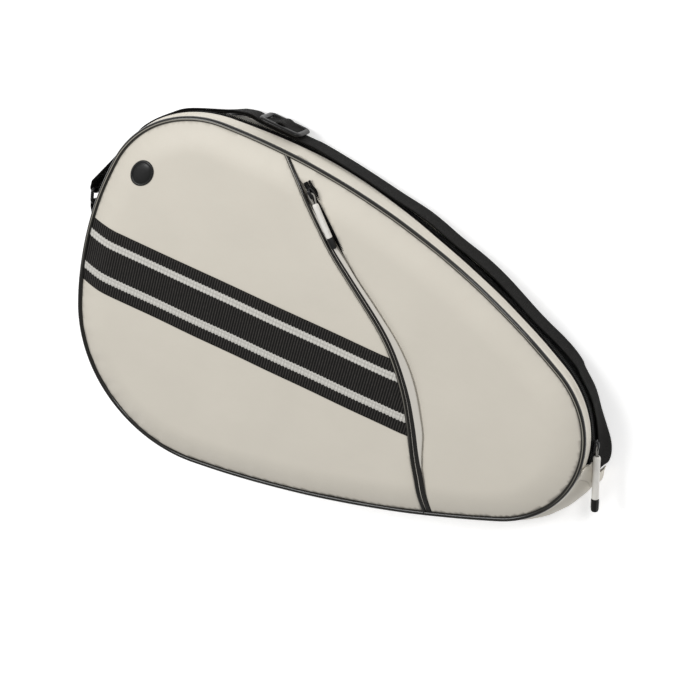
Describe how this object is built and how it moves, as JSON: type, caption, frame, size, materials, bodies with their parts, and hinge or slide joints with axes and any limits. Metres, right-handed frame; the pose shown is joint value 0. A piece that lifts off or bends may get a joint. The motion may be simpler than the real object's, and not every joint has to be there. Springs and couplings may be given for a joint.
{
  "type": "paddle case",
  "caption": "Padded teardrop paddle case that opens like a clamshell, with a zipped front pocket, piped edges and an adjustable shoulder strap.",
  "frame": {"origin": "centre of the whole case's box, on the surface that its back panel lies on", "axes": "+X along the case to its narrow tip, +Y to the side that the main zip runs along, +Z out of the front panel"},
  "size_m": [0.5272, 0.3443, 0.0598],
  "materials": {
    "cream_fabric": "matt coated fabric",
    "cream_edge": "turned fabric edge",
    "black_piping": "glossy coated piping",
    "black_webbing": "woven webbing",
    "striped_webbing": "ribbed woven webbing with pale stripes",
    "zip_black": "zip tape and moulded coil",
    "slider_metal": "black painted metal",
    "cream_rubber": "satin moulded grip",
    "black_rubber": "satin",
    "buckle_plastic": "satin moulding",
    "badge_black": "satin",
    "lining_black": "plain woven lining",
    "foam_grey": "closed-cell foam padding"
  },
  "bodies": {
    "back_shell": {"back_panel": "cream_fabric", "back_foam": "foam_grey", "back_lining": "lining_black", "back_piping": "black_piping", "gusset_back_strip": "cream_fabric", "gusset_back_lining": "lining_black", "hinge_gusset_lower": "cream_fabric", "zip_tape_back": "zip_black", "zip_coil_back": "zip_black", "zip_stop_tip": "slider_metal", "zip_stop_head": "slider_metal", "shoulder_strap": "black_webbing", "strap_anchor": "black_webbing"},
    "front_shell": {"front_piping": "black_piping", "gusset_front_strip": "cream_fabric", "gusset_front_lining": "lining_black", "hinge_gusset_upper": "cream_fabric", "zip_tape_front": "zip_black", "zip_coil_front": "zip_black", "front_lining": "lining_black", "front_foam": "foam_grey", "pocket_back_panel": "cream_fabric", "pocket_panel": "cream_fabric", "side_panel": "cream_fabric", "zip_flap": "cream_edge", "pocket_piping": "black_piping", "pocket_tape_left": "zip_black", "pocket_tape_right": "zip_black", "pocket_coil_left": "zip_black", "pocket_coil_right": "zip_black", "striped_band": "striped_webbing", "badge": "badge_black"},
    "main_slider": {"main_slider": "slider_metal"},
    "main_puller": {"main_pull_loop": "black_rubber", "main_puller_grip": "cream_rubber", "main_puller_cap": "black_rubber"},
    "pocket_slider": {"pocket_slider": "slider_metal"},
    "pocket_puller": {"pocket_pull_loop": "black_rubber", "pocket_puller_grip": "cream_rubber", "pocket_puller_cap": "black_rubber"},
    "strap_ring": {"strap_ring": "slider_metal"},
    "strap_buckle": {"strap_buckle": "buckle_plastic"}
  },
  "joints": [
    {"name": "case_opens", "type": "hinge", "parent": "back_shell", "child": "front_shell", "pos_m": [0.05838, -0.13392, 0.0245], "axis": [0.9469, 0.3216, 0], "range_deg": [0, 60]},
    {"name": "main_slider_travel", "type": "hinge", "parent": "back_shell", "child": "main_slider", "pos_m": [0.1507, 0.0091, 0.0277], "axis": [0, 0, 1], "range_deg": [0, 44]},
    {"name": "main_puller_swing", "type": "hinge", "parent": "main_slider", "child": "main_puller", "pos_m": [0.24174, 0.02928, 0.0277], "axis": [0, 0, 1], "range_deg": [0, 140]},
    {"name": "pocket_slider_travel", "type": "slide", "parent": "front_shell", "child": "pocket_slider", "axis": [0.757, -0.6534, 0], "range_m": [0, 0.105]},
    {"name": "pocket_puller_lift", "type": "hinge", "parent": "pocket_slider", "child": "pocket_puller", "pos_m": [-0.05241, 0.14216, 0.0568], "axis": [-0.6534, -0.757, 0], "range_deg": [0, 160]},
    {"name": "strap_ring_swing", "type": "hinge", "parent": "back_shell", "child": "strap_ring", "pos_m": [-0.2563, 0.0196, 0.0149], "axis": [0, 0, 1], "range_deg": [-4, 4]},
    {"name": "strap_buckle_travel", "type": "slide", "parent": "back_shell", "child": "strap_buckle", "axis": [1, 0, 0], "range_m": [-0.012, 0.02]}
  ]
}
